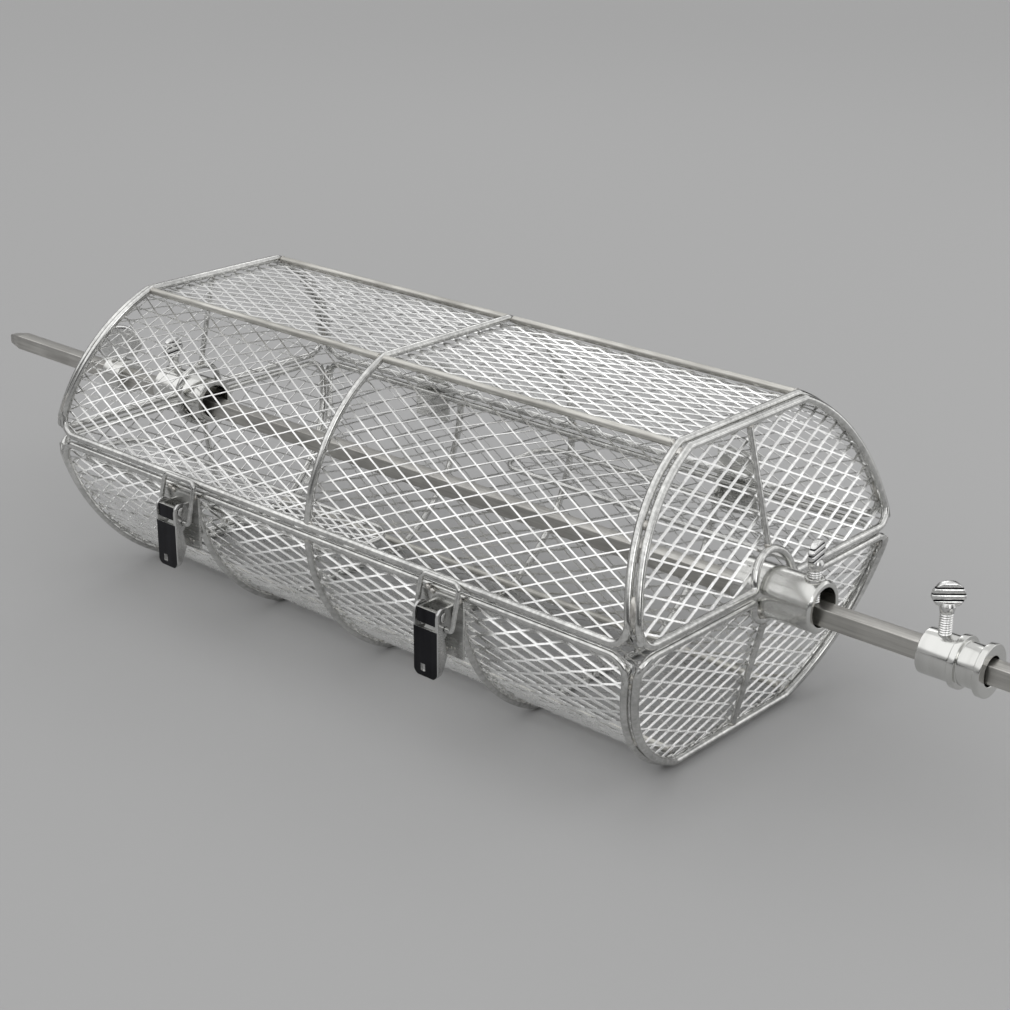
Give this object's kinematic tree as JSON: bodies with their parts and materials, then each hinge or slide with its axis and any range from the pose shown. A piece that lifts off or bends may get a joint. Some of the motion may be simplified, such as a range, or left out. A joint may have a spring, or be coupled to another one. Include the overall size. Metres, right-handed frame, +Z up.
{
  "type": "rotisserie basket on a spit",
  "caption": "Round-sided mesh basket with a hinged lid and toggle latches, clamped on a square spit with thumb screws, that tumbles food over a fire.",
  "frame": {"origin": "under the middle of the basket, on the plane that its three base hoops and base frame rest on", "axes": "+X along the spit towards its free end, +Y towards the lid's hinges, +Z up towards the lid"},
  "size_m": [0.7, 0.2016, 0.1449],
  "materials": {
    "polished_wire": "polished stainless wire",
    "expanded_metal": "bright expanded stainless sheet",
    "spit_steel": "matte drawn square bar",
    "hub_steel": "satin turned tube",
    "latch_steel": "pressed bright sheet",
    "lever_steel": "polished sheet that mirrors a dark room",
    "screw_steel": "bright thumb screw"
  },
  "bodies": {
    "base": {"base_frame": "polished_wire", "base_mid_hoop": "polished_wire", "base_left_end_frame": "polished_wire", "base_right_end_frame": "polished_wire", "base_left_spoke": "polished_wire", "base_right_spoke": "polished_wire", "base_front_rod": "polished_wire", "base_back_rod": "polished_wire", "base_front_net": "expanded_metal", "base_flat_net": "expanded_metal", "base_back_net": "expanded_metal", "base_left_end_net": "expanded_metal", "base_right_end_net": "expanded_metal", "base_left_latch_hoop": "polished_wire", "left_paddle_frame": "polished_wire", "left_paddle_net": "expanded_metal", "left_hub": "hub_steel", "left_latch_plate": "latch_steel", "left_latch_pin": "latch_steel", "left_hinge_base_leaf": "latch_steel", "left_hinge_pin": "latch_steel", "base_right_latch_hoop": "polished_wire", "right_paddle_frame": "polished_wire", "right_paddle_net": "expanded_metal", "right_hub": "hub_steel", "right_latch_plate": "latch_steel", "right_latch_pin": "latch_steel", "right_hinge_base_leaf": "latch_steel", "right_hinge_pin": "latch_steel"},
    "lid": {"lid_frame": "polished_wire", "lid_mid_hoop": "polished_wire", "lid_left_end_frame": "polished_wire", "lid_right_end_frame": "polished_wire", "lid_left_spoke": "polished_wire", "lid_right_spoke": "polished_wire", "lid_front_left_rod": "polished_wire", "lid_front_right_rod": "polished_wire", "lid_back_left_rod": "polished_wire", "lid_back_right_rod": "polished_wire", "lid_front_net": "expanded_metal", "lid_flat_net": "expanded_metal", "lid_back_net": "expanded_metal", "lid_left_end_net": "expanded_metal", "lid_right_end_net": "expanded_metal", "left_hinge_lid_leaf": "latch_steel", "right_hinge_lid_leaf": "latch_steel"},
    "spit": {"spit_rod": "spit_steel", "left_collar": "hub_steel", "right_collar": "hub_steel"},
    "bush": {"spit_bush": "hub_steel"},
    "left_hub_screw": {"left_hub_screw": "screw_steel"},
    "left_collar_screw": {"left_collar_screw": "screw_steel"},
    "left_lever": {"left_latch_lever": "lever_steel"},
    "left_bail": {"left_latch_bail": "polished_wire"},
    "right_hub_screw": {"right_hub_screw": "screw_steel"},
    "right_collar_screw": {"right_collar_screw": "screw_steel"},
    "right_lever": {"right_latch_lever": "lever_steel"},
    "right_bail": {"right_latch_bail": "polished_wire"}
  },
  "joints": [
    {"name": "lid_hinge", "type": "hinge", "parent": "base", "child": "lid", "pos_m": [0, 0.0956, 0.07246], "axis": [-1, 0, 0], "range_deg": [0, 175]},
    {"name": "spit_slide", "type": "slide", "parent": "base", "child": "spit", "axis": [1, 0, 0], "range_m": [-0.046, 0.026]},
    {"name": "bush_turn", "type": "hinge", "parent": "spit", "child": "bush", "pos_m": [0.2625, 0, 0.06965], "axis": [1, 0, 0], "continuous": true},
    {"name": "left_hub_screw_turn", "type": "hinge", "parent": "base", "child": "left_hub_screw", "pos_m": [-0.203, 0, 0.07246], "axis": [0, 0, 1], "continuous": true},
    {"name": "left_collar_screw_turn", "type": "hinge", "parent": "spit", "child": "left_collar_screw", "pos_m": [-0.249, 0, 0.06965], "axis": [0, 0, 1], "continuous": true},
    {"name": "left_lever_swing", "type": "hinge", "parent": "base", "child": "left_lever", "pos_m": [-0.0838, -0.0988, 0.06446], "axis": [-1, 0, 0], "range_deg": [0, 120]},
    {"name": "left_bail_swing", "type": "hinge", "parent": "left_lever", "child": "left_bail", "pos_m": [-0.0838, -0.098, 0.05886], "axis": [-1, 0, 0], "range_deg": [-135, 0]},
    {"name": "right_hub_screw_turn", "type": "hinge", "parent": "base", "child": "right_hub_screw", "pos_m": [0.203, 0, 0.07246], "axis": [0, 0, 1], "continuous": true},
    {"name": "right_collar_screw_turn", "type": "hinge", "parent": "spit", "child": "right_collar_screw", "pos_m": [0.2625, 0, 0.06965], "axis": [0, 0, 1], "continuous": true},
    {"name": "right_lever_swing", "type": "hinge", "parent": "base", "child": "right_lever", "pos_m": [0.0838, -0.0988, 0.06446], "axis": [-1, 0, 0], "range_deg": [0, 120]},
    {"name": "right_bail_swing", "type": "hinge", "parent": "right_lever", "child": "right_bail", "pos_m": [0.0838, -0.098, 0.05886], "axis": [-1, 0, 0], "range_deg": [-135, 0]}
  ],
  "couplings": [
    {"joint": "left_bail_swing", "follows": "left_lever_swing", "ratio": -1.125},
    {"joint": "right_bail_swing", "follows": "right_lever_swing", "ratio": -1.125}
  ]
}
